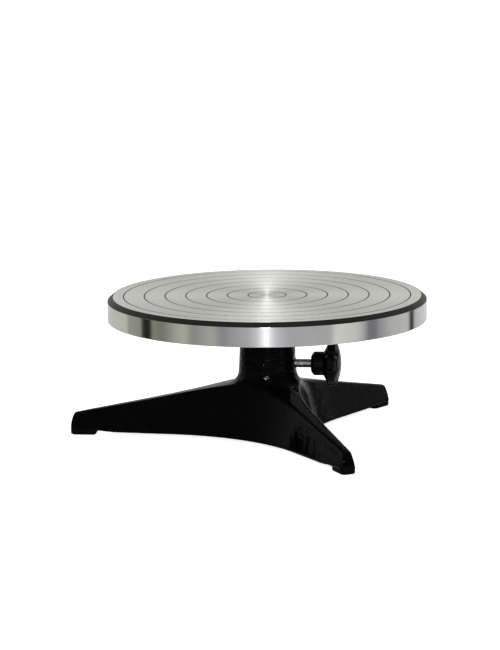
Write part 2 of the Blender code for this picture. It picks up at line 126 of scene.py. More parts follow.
FOOT_SINK = 2.4 * MM  # how far a foot's top sits in the casting


# ---- mesh helpers ----------------------------------------------------------------------


def rounded(before, corner, after, radius, count):
    """The corner between two straight lines, replaced by a tangent arc that fits them."""
    corner = Vector(corner)
    u, v = Vector(before) - corner, Vector(after) - corner
    half = u.angle(v) / 2
    radius = min(radius, 0.45 * min(u.length, v.length) * math.tan(half))
    u.normalize()
    v.normalize()
    if half > math.radians(89):
        return [tuple(corner)]
    centre = corner + (u + v).normalized() * (radius / math.sin(half))
    first = corner + u * (radius / math.tan(half))
    last = corner + v * (radius / math.tan(half))
    turn = (first - centre).angle_signed(last - centre)
    points = []
    for i in range(count + 1):
        spoke = first - centre
        spoke.rotate(Matrix.Rotation(-turn * i / count, 2))
        points.append(tuple(centre + spoke))
    return points


def soften(profile, radius, count=3, closed=False):
    """Every corner of a profile rounded, apart from an open profile's two ends."""
    points = []
    total = len(profile)
    for i, corner in enumerate(profile):
        if not closed and i in (0, total - 1):
            points.append(corner)
        else:
            points += rounded(profile[i - 1], corner, profile[(i + 1) % total], radius, count)
    return points


def link(mesh, name, body, materials, angle=32):
    """A smooth-shaded object of the mesh, which rides on the body if there is one."""
    obj = bpy.data.objects.new(name, mesh)
    bpy.context.scene.collection.objects.link(obj)
    for material in materials:
        mesh.materials.append(material)
    mesh.shade_smooth()
    mesh.set_sharp_from_angle(angle=math.radians(angle))
    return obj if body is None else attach(obj, body)


def held(profile, margin=0.12 * MM):
    """The profile's points with their segment's number. Two more points on each long
    segment, close to its ends, keep smooth shading from bending the flat between them."""
    points = []
    for index, (r, z) in enumerate(profile):
        points.append((r, z, index))
        if index + 1 < len(profile):
            run = Vector(profile[index + 1]) - Vector((r, z))
            if run.length > 10 * margin:
                near = run.normalized() * margin
                points.append((r + near.x, z + near.y, index))
                points.append((r + run.x - near.x, z + run.y - near.y, index))
    return points


def lathe_mesh(name, profile, steps, closed=False, slot_at=None, radius_at=None):
    """A profile of (radius, height) points, run down its outer side, turned about Z."""
    bm = bmesh.new()
    rings = []
    points = held(profile)
    for r, z, _ in points:
        if r < 1e-9:
            rings.append([bm.verts.new((0, 0, z))])
            continue
        ring = []
        for k in range(steps):
            turn = 2 * math.pi * k / steps
            reach = radius_at(r, z, turn) if radius_at else r
            ring.append(bm.verts.new((reach * math.cos(turn), reach * math.sin(turn), z)))
        rings.append(ring)
    pairs = list(zip(rings, rings[1:]))
    if closed:
        pairs.append((rings[-1], rings[0]))
    for index, (upper, lower) in enumerate(pairs):
        for k in range(steps):
            j = (k + 1) % steps
            quad = [upper[k % len(upper)], lower[k % len(lower)]]
            quad += [lower[j % len(lower)], upper[j % len(upper)]]
            corners = list(dict.fromkeys(quad))
            if len(corners) > 2:
                face = bm.faces.new(corners)
                if slot_at:
                    face.material_index = slot_at(points[index][2])
    mesh = bpy.data.meshes.new(name)
    bm.to_mesh(mesh)
    bm.free()
    return mesh


def apply_modifiers(obj):
    """The object's evaluated mesh, which replaces its modifiers."""
    depsgraph = bpy.context.evaluated_depsgraph_get()
    mesh = bpy.data.meshes.new_from_object(obj.evaluated_get(depsgraph))
    obj.modifiers.clear()
    old, obj.data = obj.data, mesh
    bpy.data.meshes.remove(old)


def cut(obj, cutters):
    """Takes the cutters' shapes out of the object and removes the cutters."""
    for cutter in cutters:
        boolean = obj.modifiers.new("cut", "BOOLEAN")
        boolean.operation = "DIFFERENCE"
        boolean.object = cutter
        boolean.solver = "EXACT"
    apply_modifiers(obj)
    for cutter in cutters:
        bpy.data.objects.remove(cutter)


# ---- material helpers ------------------------------------------------------------------


class Nodes:
    """A material's node tree, with short names for the nodes that these looks need."""

    def __init__(self, name, colour, metallic=0.0, roughness=0.5, **sockets):
        self.material = bpy.data.materials.new(name)
        self.material.use_nodes = True
        self.tree = self.material.node_tree
        self.shader = self.tree.nodes["Principled BSDF"]
        self.shader.inputs["Base Color"].default_value = (*colour, 1)
        self.shader.inputs["Metallic"].default_value = metallic
        self.shader.inputs["Roughness"].default_value = roughness
        for socket, value in sockets.items():
            self.shader.inputs[socket.replace("_", " ")].default_value = value
        self.place = self.new("ShaderNodeTexCoord").outputs["Object"]

    def new(self, kind, **settings):
        node = self.tree.nodes.new(kind)
        for key, value in settings.items():
            setattr(node, key, value)
        return node

    def feed(self, socket, value):
        if isinstance(value, bpy.types.NodeSocket):
            self.tree.links.new(value, socket)
        else:
            socket.default_value = value

    def math(self, operation, *values):
        node = self.new("ShaderNodeMath", operation=operation)
        for socket, value in zip(node.inputs, values):
            self.feed(socket, value)
        return node.outputs[0]

    def parts(self):
        node = self.new("ShaderNodeSeparateXYZ")
        self.feed(node.inputs[0], self.place)
        return node.outputs

    def radius(self):
        """Distance from the object's Z axis."""
        x, y, _ = self.parts()
        squares = self.math("ADD", self.math("MULTIPLY", x, x), self.math("MULTIPLY", y, y))
        return self.math("SQRT", squares)

    def lines(self, along, per_metre, detail=3.0, roughness=0.6):
        """Noise that changes only along one value, as a cutting tool's marks do."""
        noise = self.new("ShaderNodeTexNoise", noise_dimensions="1D")
        self.feed(noise.inputs["W"], along)
        noise.inputs["Scale"].default_value = per_metre
        noise.inputs["Detail"].default_value = detail
        noise.inputs["Roughness"].default_value = roughness
        return noise.outputs["Fac"]

    def noise(self, per_metre, detail=2.0, roughness=0.5, distortion=0.0):
        noise = self.new("ShaderNodeTexNoise")
        self.feed(noise.inputs["Vector"], self.place)
        noise.inputs["Scale"].default_value = per_metre
        noise.inputs["Detail"].default_value = detail
        noise.inputs["Roughness"].default_value = roughness
        noise.inputs["Distortion"].default_value = distortion
        return noise.outputs["Fac"]

    def ramp(self, value, *stops):
        """Maps a value to a colour. Stops are (place, colour or grey)."""
        node = self.new("ShaderNodeValToRGB")
        while len(node.color_ramp.elements) < len(stops):
            node.color_ramp.elements.new(0.5)
        for element, (place, colour) in zip(node.color_ramp.elements, stops):
            element.position = place
            rgb = (colour,) * 3 if isinstance(colour, float) else colour
            element.color = (*rgb, 1)
        self.feed(node.inputs["Fac"], value)
        return node.outputs["Color"]

    def spread(self, value, low, high, start=0.3, end=0.7):
        """Maps start..end, the middle of a noise if not given, to the range low..high."""
        node = self.new("ShaderNodeMapRange")
        self.feed(node.inputs["Value"], value)
        node.inputs["From Min"].default_value = start
        node.inputs["From Max"].default_value = end
        node.inputs["To Min"].default_value = low
        node.inputs["To Max"].default_value = high
        return node.outputs["Result"]

    def colour(self, value):
        self.feed(self.shader.inputs["Base Color"], value)

    def roughness(self, value):
        self.feed(self.shader.inputs["Roughness"], value)

    def bump(self, *layers):
        """Layers are (height from 0 to 1, depth in metres)."""
        normal = None
        for height, depth in layers:
            node = self.new("ShaderNodeBump")
            node.inputs["Strength"].default_value = 1
            node.inputs["Distance"].default_value = depth
            self.feed(node.inputs["Height"], height)
            if normal:
                self.feed(node.inputs["Normal"], normal)
            normal = node.outputs["Normal"]
        self.feed(self.shader.inputs["Normal"], normal)


def satin_turned():
    """The plate's top: fine facing-lathe rings under a satin finish."""
    n = Nodes(
        "satin_turned", (0.6, 0.6, 0.57), metallic=1.0, roughness=0.28,
        Anisotropic=0.92, Anisotropic_Rotation=0.25,
    )
    r = n.radius()
    fine = n.lines(r, 2600)
    broad = n.lines(r, 180)
    cloud = n.noise(14, 3)
    grain = n.noise(900, 2)
    spots = n.math("ADD", n.math("MULTIPLY", cloud, 0.25), n.math("MULTIPLY", grain, 0.5))
    mottle = n.math("ADD", n.math("MULTIPLY", broad, 0.25), spots)
    n.colour(n.ramp(mottle, (0.35, (0.535, 0.545, 0.505)), (0.65, (0.64, 0.645, 0.61))))
    finish = n.math("MULTIPLY_ADD", r, -2.8, 1.25)  # coarser in the middle, where the cut is slow
    n.roughness(n.math("MULTIPLY", n.spread(fine, 0.24, 0.33), finish))
    n.bump((fine, 0.006 * MM))
    return n.material


def polished_turned():
    """The rim: turned and polished, so it mirrors the room along its height."""
    n = Nodes(
        "polished_turned", (0.62, 0.62, 0.60), metallic=1.0, roughness=0.16,
        Anisotropic=0.85, Anisotropic_Rotation=0.25,
    )
    z = n.parts()[2]
    fine = n.lines(z, 5200)
    cloud = n.noise(22, 3)
    n.colour(n.ramp(cloud, (0.3, (0.585, 0.59, 0.57)), (0.7, (0.65, 0.65, 0.635))))
    n.roughness(n.spread(fine, 0.12, 0.2))
    n.bump((fine, 0.0025 * MM))
    return n.material


def rough_turned():
    """The plate's underside: as cast, then faced with a coarse cut."""
    n = Nodes("rough_turned", (0.5, 0.5, 0.49), metallic=1.0, roughness=0.45, Anisotropic=0.4)
    rings = n.lines(n.radius(), 900)
    grain = n.noise(420, 3)
    n.colour(n.ramp(grain, (0.3, (0.43, 0.43, 0.42)), (0.7, (0.54, 0.54, 0.53))))
    n.roughness(n.spread(rings, 0.38, 0.55))
    n.bump((rings, 0.03 * MM), (grain, 0.02 * MM))
    return n.material


def painted_groove_shadow():
    """The grooves' walls: near-black, a painted shadow for the shade in the grooves, mottled by
    noise.
    """
    n = Nodes("painted_groove_shadow", (0.05, 0.05, 0.048), metallic=0.6, roughness=0.6)
    shadow_mottle = n.noise(700, 3)
    # painted shadow: near-black colour standing in for the shade that falls in the grooves
    n.colour(n.ramp(shadow_mottle, (0.3, (0.03, 0.03, 0.029)), (0.7, (0.075, 0.075, 0.07))))
    n.roughness(n.spread(shadow_mottle, 0.5, 0.75))
    n.bump((shadow_mottle, 0.01 * MM))
    return n.material


def black_edge():
    """The conical ring: black, with the lathe's fine rings still in it."""
    n = Nodes("black_edge", (0.003, 0.003, 0.003), roughness=0.4, IOR=1.18)
    fine = n.lines(n.radius(), 3400)
    broad = n.lines(n.radius(), 700)
    n.colour(n.ramp(broad, (0.3, (0.007, 0.007, 0.0066)), (0.75, (0.02, 0.02, 0.019))))
    n.roughness(n.spread(fine, 0.26, 0.42))
    n.bump((fine, 0.012 * MM))
    return n.material


def enamel():
    """Gloss black enamel over a casting: orange peel, the casting's slow waves, a lumpy hub."""
    n = Nodes("black_enamel", (0.0012, 0.0012, 0.0014), roughness=0.1, IOR=1.13)
    peel = n.noise(520, 2, 0.45)
    waves = n.noise(95, 2, 0.5)
    specks = n.noise(2600, 2)
    hub_start, hub_full = -86 * MM, -70 * MM
    on_hub = n.spread(n.parts()[2], 0, 1, hub_start, hub_full)
    lumps = n.math("MULTIPLY", n.noise(270, 1), on_hub)
    n.colour(n.ramp(waves, (0.3, (0.001, 0.001, 0.0012)), (0.7, (0.0022, 0.0022, 0.0025))))
    gloss = n.math("MULTIPLY_ADD", on_hub, -0.6, 1)  # the hub is the glossier part
    n.roughness(n.math("MULTIPLY", n.spread(specks, 0.05, 0.1), gloss))
    n.bump((waves, 0.3 * MM), (peel, 0.06 * MM), (lumps, 0.85 * MM))
    return n.material


def rubber():
    """The feet and the dust seal: matt black rubber with a fine grain."""
    n = Nodes("foot_rubber", (0.002, 0.002, 0.002), roughness=0.6, IOR=1.12)
    grain = n.noise(1800, 3)
    cloud = n.noise(120, 2)
    n.colour(n.ramp(cloud, (0.3, (0.0015, 0.0015, 0.0015)), (0.7, (0.0035, 0.0035, 0.0035))))
    n.roughness(n.spread(grain, 0.6, 0.82))
    n.bump((grain, 0.03 * MM))
    return n.material


def phenolic():
    """The knob: gloss black moulding, a little uneven where the mould was hand polished."""
    n = Nodes("black_phenolic", (0.002, 0.002, 0.002), roughness=0.2, IOR=1.17)
    haze = n.noise(260, 3)
    waves = n.noise(110, 1)
    n.colour(n.ramp(haze, (0.3, (0.0015, 0.0015, 0.0015)), (0.7, (0.004, 0.004, 0.004))))
    n.roughness(n.spread(haze, 0.1, 0.18))
    n.bump((waves, 0.03 * MM), (haze, 0.006 * MM))
    return n.material


def ground_steel():
    """Spindle and bearing steel, ground round and round."""
    n = Nodes("ground_steel", (0.56, 0.57, 0.58), metallic=1.0, roughness=0.26, Anisotropic=0.5)
    marks = n.lines(n.parts()[2], 4200)
    cloud = n.noise(160, 2)
    n.colour(n.ramp(cloud, (0.3, (0.5, 0.51, 0.52)), (0.7, (0.6, 0.61, 0.62))))
    n.roughness(n.spread(marks, 0.2, 0.33))
    n.bump((marks, 0.004 * MM))
    return n.material


def bright_zinc():
    """The stud and the screws: bright zinc plate, with its faint blue bloom."""
    n = Nodes("bright_zinc", (0.35, 0.36, 0.36), metallic=1.0, roughness=0.2)
    bloom = n.noise(240, 3)
    pits = n.noise(2200, 2)
    n.colour(n.ramp(
        bloom, (0.3, (0.27, 0.3, 0.31)), (0.55, (0.35, 0.36, 0.36)), (0.75, (0.4, 0.39, 0.36)),
    ))
    n.roughness(n.spread(bloom, 0.17, 0.3))
    n.bump((pits, 0.004 * MM))
    return n.material


def nylon():
    """The brake pad and the cages: natural nylon, a little cloudy."""
    n = Nodes("natural_nylon", (0.82, 0.79, 0.7), roughness=0.48, Subsurface_Weight=0.1)
    n.shader.inputs["Subsurface Scale"].default_value = 1 * MM
    cloud = n.noise(300, 2)
    n.colour(n.ramp(cloud, (0.3, (0.78, 0.75, 0.65)), (0.7, (0.86, 0.84, 0.76))))
    n.roughness(n.spread(n.noise(1500, 2), 0.42, 0.55))
    n.bump((cloud, 0.02 * MM))
    return n.material


def cap_plastic():
    """The end cap: dull black plastic."""
    n = Nodes("cap_plastic", (0.014, 0.014, 0.015), roughness=0.42, Specular_IOR_Level=0.4)
    grain = n.noise(1600, 2)
    n.colour(n.ramp(n.noise(90, 2), (0.3, (0.01, 0.01, 0.011)), (0.7, (0.02, 0.02, 0.021))))
    n.roughness(n.spread(grain, 0.36, 0.5))
    n.bump((grain, 0.012 * MM))
    return n.material


LOOKS = {
    "turned_aluminium": satin_turned(),
    "black_edge": black_edge(),
    "black_casting": enamel(),
    "rubber": rubber(),
    "steel": ground_steel(),
    "zinc_plate": bright_zinc(),
    "nylon": nylon(),
    "black_plastic": cap_plastic(),
}


# ---- head ------------------------------------------------------------------------------


def groove(r):
    """A shallow round-bottomed groove with softened lips, as (radius, depth) points."""
    half, depth = 0.62 * MM, 0.5 * MM
    shape = ((-1.2, 0), (-1.0, 0.07), (-0.72, 0.55), (-0.3, 0.97), (0, 1.0))
    left = [(r + half * x, -depth * d) for x, d in shape]
    right = [(2 * r - x, z) for x, z in reversed(left[:-1])]
    return left + right


def head_plate():
    """The plate, run from its centre over the top, down the rim and in under to the bore."""
    seat = RADIUS - EDGE_WIDTH - GAP
    rebate = RING_LOW.z - GAP
    under = PLATE_TOP - PLATE_THICKNESS
    inside = RADIUS - RIM_WALL
    low = HEAD_LOW.z
    bore = SPIGOT_RADIUS + GAP
    top = [(0, PLATE_TOP)]
    for i in range(GROOVE_COUNT):
        top += [(r, PLATE_TOP + z) for r, z in groove(GROOVE_FIRST + i * GROOVE_PITCH)]
    top += rounded((0, PLATE_TOP), (seat, PLATE_TOP), (seat, rebate), 0.35 * MM, 3)
    top += [(seat, rebate), (RADIUS - 0.8 * MM, rebate)]
    rim = rounded((seat, rebate), (RADIUS, rebate), (RADIUS, low), 0.15 * MM, 3)
    rim += rounded((RADIUS, rebate), (RADIUS, low), (inside, low), 0.9 * MM, 4)
    rim.append((inside + 1.2 * MM, low))
    hollow = soften([
        (RADIUS, low), (inside, low), (inside - 1 * MM, under), (BOSS_RADIUS + 1.5 * MM, under),
        (BOSS_RADIUS, BOSS_BOTTOM), (bore, BOSS_BOTTOM), (bore, BOSS_BOTTOM + 4 * MM),
    ], 3 * MM, 5)[1:]
    hollow += [(bore, BOSS_BOTTOM + SPIGOT_DEPTH), (0, BOSS_BOTTOM + SPIGOT_DEPTH)]
    first_under = len(top) + len(rim) - 1

    face, polished, rough, shade = range(4)

    def slot_at(index):
        if index >= first_under:
            return rough
        if index > GROOVE_COUNT * GROOVE_POINTS:
            return polished
        place = (index - 1) % GROOVE_POINTS
        # the groove walls take the painted groove shadow look
        return shade if index and 0 < place < GROOVE_POINTS - 2 else face

    mesh = lathe_mesh("turntable_plate", top + rim + hollow, 256, slot_at=slot_at)
    looks = [LOOKS["turned_aluminium"], polished_turned(), rough_turned(), painted_groove_shadow()]
    plate = link(mesh, "turntable_plate", "head", looks)
    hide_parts("head_plate")


def edge_ring():
    """The black ring, a triangle in section with its long side as the conical face."""
    inner = RADIUS - EDGE_WIDTH
    corners = [(inner, PLATE_TOP), (RADIUS, RING_LOW.z), (inner, RING_LOW.z)]
    profile = soften(corners, 0.06 * MM, 3, closed=True)
    ring = link(
        lathe_mesh("turntable_edge_ring", profile, 256, closed=True),
        "turntable_edge_ring", "head", [LOOKS["black_edge"]],
    )
    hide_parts("edge_ring")


# ---- base ------------------------------------------------------------------------------


def leg_line(radius):
    """Height of the straight part of a leg's top, carried on to the axis."""
    return LEG_TIP_TOP + LEG_TOP_SLOPE * (LEG_TIP_RADIUS - radius)


def leg_top(radius):
    """Height of a leg's top, which sweeps up above the straight line near the hub."""
    return leg_line(radius) + LEG_SWEEP * max(0, 1 - radius / LEG_SWEEP_START) ** 2


def casting_profile():
    """The casting's section before its legs are cut: a cone under a hub with its bore."""
    meet = HUB_TOP_RADIUS + HUB_DRAFT * (HUB_TOP - leg_top(HUB_TOP_RADIUS))
    corner = (meet, leg_top(meet))
    tip = (LEG_TIP_RADIUS, LEG_TIP_TOP)
    hub_edge = (HUB_TOP_RADIUS, HUB_TOP)
    end_count = 12
    end_curve = []
    for i in range(1, end_count + 1):
        t = i / end_count
        height = LEG_TIP_TOP + (LEG_END_LOW - LEG_TIP_TOP) * t
        bulge = (LEG_REACH - LEG_TIP_RADIUS) * math.sin(t * math.pi / 2)
        end_curve.append((LEG_TIP_RADIUS + bulge, height))
    seat = SEAT_RADIUS
    sweep_count = 16
    sweep = []
    for i in range(sweep_count + 1):
        radius = FILLET_END + (LEG_SWEEP_START - FILLET_END) * i / sweep_count
        sweep.append((radius, leg_top(radius)))
    along_leg = FILLET_END + 10 * MM
    return [
        *rounded((seat, HUB_TOP), hub_edge, corner, EDGE_ROUNDING, 4),
        *rounded(hub_edge, corner, (along_leg, leg_top(along_leg)), FILLET, 14),
        *sweep,
        *rounded(sweep[-1], tip, end_curve[-1], EDGE_ROUNDING, 4),
        *end_curve[1:],
        (LEG_REACH - 0.3 * MM, FOOT_THICKNESS),
        (SKIRT_STEP + SKIRT_STEP_LENGTH, FOOT_THICKNESS),
        (SKIRT_STEP, SKIRT_BOTTOM),
        (TUBE_RADIUS, SKIRT_BOTTOM),
        (TUBE_RADIUS, TUBE_BOTTOM),
        (seat, TUBE_BOTTOM),
        (seat, LOWER_SEAT),
        (BORE_RADIUS, LOWER_SEAT),
        (BORE_RADIUS, UPPER_SEAT),
        (seat, UPPER_SEAT),
        (seat, HUB_TOP),
    ]


def scoop_outline(inset):
    """The space between two legs in plan, about +X, with its wall moved in by inset."""
    side = math.sqrt(1 + LEG_SIDE_TAPER**2)
    sin60, cos60 = math.sin(math.pi / LEG_COUNT), math.cos(math.pi / LEG_COUNT)
    centre = (WEB_RADIUS * side - LEG_HALF_WIDTH_AT_AXIS) / (
        side - sin60 - LEG_SIDE_TAPER * cos60
    )
    radius = centre - WEB_RADIUS + inset
    lean = math.atan(LEG_SIDE_TAPER)
    swing = math.pi / 2 - math.pi / LEG_COUNT - lean
    wall = []
    count = 64
    for i in range(count + 1):
        a = math.pi + swing - 2 * swing * i / count
        wall.append((centre + radius * math.cos(a), radius * math.sin(a)))
    heading = math.pi / LEG_COUNT + lean
    wall_length, far = 200 * MM, 420 * MM  # both well past the leg ends
    last = Vector(wall[-1]) + Vector((math.cos(heading), math.sin(heading))) * wall_length
    return [(far, -far), (last.x, -last.y), *wall, tuple(last), (far, far)]


def scoops(inset):
    """Cutters for the spaces between the legs. Their walls lean in with height."""
    made = []
    levels = (-10 * MM, 80 * MM)  # below the casting and above its legs
    for i in range(LEG_COUNT):
        bm = bmesh.new()
        rings = []
        for z in levels:
            outline = scoop_outline(inset + (z - SKIRT_BOTTOM) * WALL_DRAFT)
            rings.append([bm.verts.new((x, y, z)) for x, y in outline])
        low, high = rings
        bm.faces.new(low)
        bm.faces.new(high)
        for k in range(len(low)):
            bm.faces.new((low[k - 1], low[k], high[k], high[k - 1]))
        bmesh.ops.recalc_face_normals(bm, faces=bm.faces)
        bmesh.ops.rotate(
            bm, verts=bm.verts, cent=(0, 0, 0),
            matrix=Matrix.Rotation(2 * math.pi * i / LEG_COUNT, 3, "Z"),
        )
        mesh = bpy.data.meshes.new("scoop")
        bm.to_mesh(mesh)
        bm.free()
        made.append(link(mesh, f"scoop_{i}", None, []))
    return made


def screw_hole():
    """A cutter for the clamp stud's hole, which runs along +X."""
    mesh = bpy.data.meshes.new("screw_hole")
    bm = bmesh.new()
    spot = Matrix.Translation((SCREW_HOLE_CENTRE, 0, SCREW_LEVEL - BENCH))
    bmesh.ops.create_cone(
        bm, cap_ends=True, segments=48, radius1=SCREW_HOLE_RADIUS, radius2=SCREW_HOLE_RADIUS,
        depth=SCREW_HOLE_LENGTH, matrix=spot @ Matrix.Rotation(math.pi / 2, 4, "Y"),
    )
    bm.to_mesh(mesh)
    bm.free()
    return link(mesh, "screw_hole", None, [])


def under_hollow():
    """A cutter for the hollow under the legs, which leaves their walls and tops."""
    inner, outer, below = TUBE_RADIUS, HOLLOW_REACH, -2 * MM
    channel = [
        (inner, leg_line(inner) - WALL), (outer, leg_line(outer) - WALL),
        (outer, below), (inner, below),
    ]
    hollow = link(lathe_mesh("hollow", channel, 192, closed=True), "hollow", None, [])
    cut(hollow, scoops(WALL))
    return hollow


def blend_edges(casting):
    """Rebuilds the mesh in even small faces and marks the parts that are smoothed more."""
    remesh = casting.modifiers.new("blend", "REMESH")
    remesh.mode = "VOXEL"
    remesh.voxel_size = VOXEL
    apply_modifiers(casting)
    tips = casting.vertex_groups.new(name="tips")
    upper = casting.vertex_groups.new(name="upper")
    upper_start, upper_run = 12 * MM, 5 * MM
    tip_start, tip_run = 176 * MM, 6 * MM
    foot_top, foot_run = 6 * MM, 4 * MM
    for vertex in casting.data.vertices:
        height = vertex.co.z
        if height > upper_start:
            upper.add([vertex.index], min(1, (height - upper_start) / upper_run), "REPLACE")
        out = (vertex.co.xy.length - tip_start) / tip_run
        up = (height - foot_top) / foot_run
        if out > 0 and up > 0:
            tips.add([vertex.index], min(1, out) * min(1, up), "REPLACE")


def smooth_edges(casting):
    """Smooths all of the casting a little, and its upper edges and leg ends more."""
    passes = (("soften", 6, ""), ("round_edges", 14, "upper"), ("round_tips", 4, "tips"))
    for label, iterations, group in passes:
        smooth = casting.modifiers.new(label, "SMOOTH")
        smooth.factor = 0.5
        smooth.iterations = iterations
        smooth.vertex_group = group
    apply_modifiers(casting)


def base_casting():
    """The tripod, made from bench level up: turned, cut between the legs, and smoothed."""
    name = "tripod_casting"
    mesh = lathe_mesh(name, casting_profile(), 288, closed=True)
    casting = link(mesh, name, None, [LOOKS["black_casting"]])
    cut(casting, scoops(0))
    cut(casting, [under_hollow(), screw_hole()])
    blend_edges(casting)
    round_leg_ends(casting.data)
    smooth_edges(casting)
    casting.data.transform(Matrix.Translation((0, 0, BENCH)))
    casting.data.shade_smooth()
    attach(casting, "base")
    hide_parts("base_casting")


def round_end(along, across):
    """Rounds a leg's end in plan: its corners are pulled back towards the hub."""
    if along < END_START:
        return along
    corner = min(1, abs(across) / END_HALF_WIDTH) ** 3
    return END_START + (along - END_START) * (1 - END_PULL * corner)


def round_leg_ends(mesh):
    """Rounds every leg's end in plan, each about its own leg's direction."""
    step = 2 * math.pi / LEG_COUNT
    for vertex in mesh.vertices:
        reach = vertex.co.xy.length
        if reach > END_START - 4 * MM:
            turn = math.atan2(vertex.co.y, vertex.co.x)
            leg = round((turn - math.pi) / step) * step
            off = turn - math.pi - leg
            along, across = reach * math.cos(off), reach * math.sin(off)
            spot = Matrix.Rotation(math.pi + leg, 2) @ Vector((round_end(along, across), across))
            vertex.co.x, vertex.co.y = spot


def foot_outline(inset):
    """A foot's outline in plan about +X, going round from its inner end, moved in by inset."""
    inner, outer, half = FOOT_INNER + inset, FOOT_OUTER - inset, FOOT_HALF_WIDTH - inset
    corners = ((inner, -half), (outer, -half), (outer, half), (inner, half))
    outline = []
    for i in range(4):
        before, corner, after = corners[i - 1], corners[i], corners[(i + 1) % 4]
        outline += rounded(before, corner, after, FOOT_CORNER, 5)
    points = []
    for i, (x, y) in enumerate(outline):
        ahead = outline[(i + 1) % len(outline)]
        pieces = 12 if abs(ahead[1] - y) > 4 * MM else 1
        for k in range(pieces):
            along = x + (ahead[0] - x) * k / pieces
            across = y + (ahead[1] - y) * k / pieces
            points.append((round_end(along, across), across))
    return points


def rubber_feet():
    """A pad under each leg's end, built up from outlines at (height, inset) in millimetres."""
    height = FOOT_THICKNESS + FOOT_SINK
    levels = ((0, 1.6), (0.25, 0.85), (0.8, 0.3), (1.7, 0), (height / MM, 0))
    for i in range(LEG_COUNT):
        name = f"foot_pad_{i + 1}"
        bm = bmesh.new()
        rings = []
        for z, inset in levels:
            outline = foot_outline(inset * MM)
            rings.append([bm.verts.new((x, y, BENCH + z * MM)) for x, y in outline])
        bm.faces.new(rings[0][::-1])
        bm.faces.new(rings[-1])
        for low, high in zip(rings, rings[1:]):
            for k in range(len(low)):
                bm.faces.new((low[k - 1], low[k], high[k], high[k - 1]))
        turn = Matrix.Rotation(math.pi + 2 * math.pi * i / LEG_COUNT, 3, "Z")
        bmesh.ops.rotate(bm, verts=bm.verts, cent=(0, 0, 0), matrix=turn)
        mesh = bpy.data.meshes.new(name)
        bm.to_mesh(mesh)
        bm.free()
        pad = link(mesh, name, "base", [LOOKS["rubber"]], angle=60)
        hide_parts(f"rubber_foot_{i + 1}")


# ---- clamp screw -----------------------------------------------------------------------


def lay_along_x(mesh):
    """Turns a mesh made about Z so that its Z runs along +X at the screw's level."""
    turn = Matrix.Rotation(math.pi / 2, 4, "Y")
    mesh.transform(Matrix.Translation((0, 0, SCREW_LEVEL)) @ turn)


def clamp_stud():
    """The stud with its thread, a helix whose crests reach the stud's full radius."""
    start, end = STUD_LOW.x, STUD_HIGH.x
    depth = 0.65 * MM
    chamfer = 0.7 * MM
    root, flank = 0.1, 0.75  # shares of half a pitch
    steps, per_turn = 48, 10
    bm = bmesh.new()
    rows = int((end - start) / THREAD_PITCH * per_turn)
    rings = []
    for row in range(rows + 1):
        along = start + (end - start) * row / rows
        ring = []
        for k in range(steps):
            turn = 2 * math.pi * k / steps
            phase = (along / THREAD_PITCH - k / steps) % 1
            crest = 1 - abs(2 * phase - 1)
            cut_depth = depth * (1 - min(1, max(0, (crest - root) / flank)))
            cut_depth *= min(1, max(0, (THREAD_END - along) / THREAD_PITCH))
            edge = min(along - start, end - along)
            radius = STUD_RADIUS - max(cut_depth, chamfer - edge)
            ring.append(
                bm.verts.new((radius * math.cos(turn), radius * math.sin(turn), along))
            )
        rings.append(ring)
    for lower, upper in zip(rings, rings[1:]):
        for k in range(steps):
            j = (k + 1) % steps
            bm.faces.new((lower[k], lower[j], upper[j], upper[k]))
    bm.faces.new(rings[0][::-1])
    bm.faces.new(rings[-1])
    mesh = bpy.data.meshes.new("threaded_stud")
    bm.to_mesh(mesh)
    bm.free()
    lay_along_x(mesh)
    stud = link(mesh, "threaded_stud", "clamp_screw", [LOOKS["zinc_plate"]], angle=50)
    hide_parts("clamp_stud")


def clamp_knob():
    """The knob, run from its dome over the rim to the collar and in along the stud's bore."""
    collar, collar_radius = KNOB_LOW.x, 11.25 * MM
    flare, rim, rim_end, end = (collar + d * MM for d in (11.6, 15.6, 23.5, 28))
    head_radius = KNOB_HIGH.y
    dome_base = head_radius - 1 * MM
    rise = end - rim_end
    dome_radius = (dome_base**2 + rise**2) / (2 * rise)
    dome = []
    dome_count = 16
    for i in range(dome_count + 1):
        r = dome_base * i / dome_count
        dome.append((r, end - dome_radius + math.sqrt(dome_radius**2 - r**2)))
    bore = STUD_RADIUS + GAP
    shell = [
        dome[-1], (head_radius, rim_end - 1.2 * MM), (head_radius, rim + 0.8 * MM),
        (head_radius - 1.6 * MM, rim), (collar_radius, flare),
        (collar_radius, collar + 2.6 * MM), (collar_radius - 3 * MM, collar), (bore, collar),
    ]
    shell = [shell[0]] + soften(shell, 1 * MM, 4)[1:]
    profile = dome[:-1] + shell + [(bore, STUD_HIGH.x + GAP), (0, STUD_HIGH.x + GAP)]

    hollow_depth = 3 * MM
    plain = 0.55  # the share of the head's radius that has no hollows

    def lobed(r, z, turn):
        """Hollows between the lobes, deepest at the head's edge and none near the collar."""
        if z < flare or r < plain * head_radius:
            return r
        hollow = max(0, -math.cos(LOBE_COUNT * turn)) ** 1.5
        reach = min(1, (r / head_radius - plain) / (1 - plain))
        return r - hollow_depth * hollow * reach

    mesh = lathe_mesh("lobed_knob", profile, LOBE_COUNT * 32, radius_at=lobed)
    lay_along_x(mesh)
    knob = link(mesh, "lobed_knob", "clamp_screw", [phenolic()], angle=45)
    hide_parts("clamp_knob")


def dress_model_nodes():
    """The pieces kept as they were packed get their slot's look."""
    slot_of = {row["node"]: row["material_slot"] for row in frame["record"]["subparts"]}
    for name, node in frame["nodes"].items():
        look = LOOKS[slot_of[name]]
        if node.material_slots:
            node.material_slots[0].material = look
        else:
            node.data.materials.append(look)


# ---- stage -----------------------------------------------------------------------------

# Angles in degrees. The camera stands on a line from the plate's centre, then turns off it.
CAMERA_AZIMUTH = 7.2
CAMERA_ELEVATION = 9.83
CAMERA_DISTANCE = 4.0
CAMERA_SWING = 0.23268
CAMERA_TILT = 0.40416
CAMERA_ROLL = -0.5
SENSOR = 36
LENS = 306.72

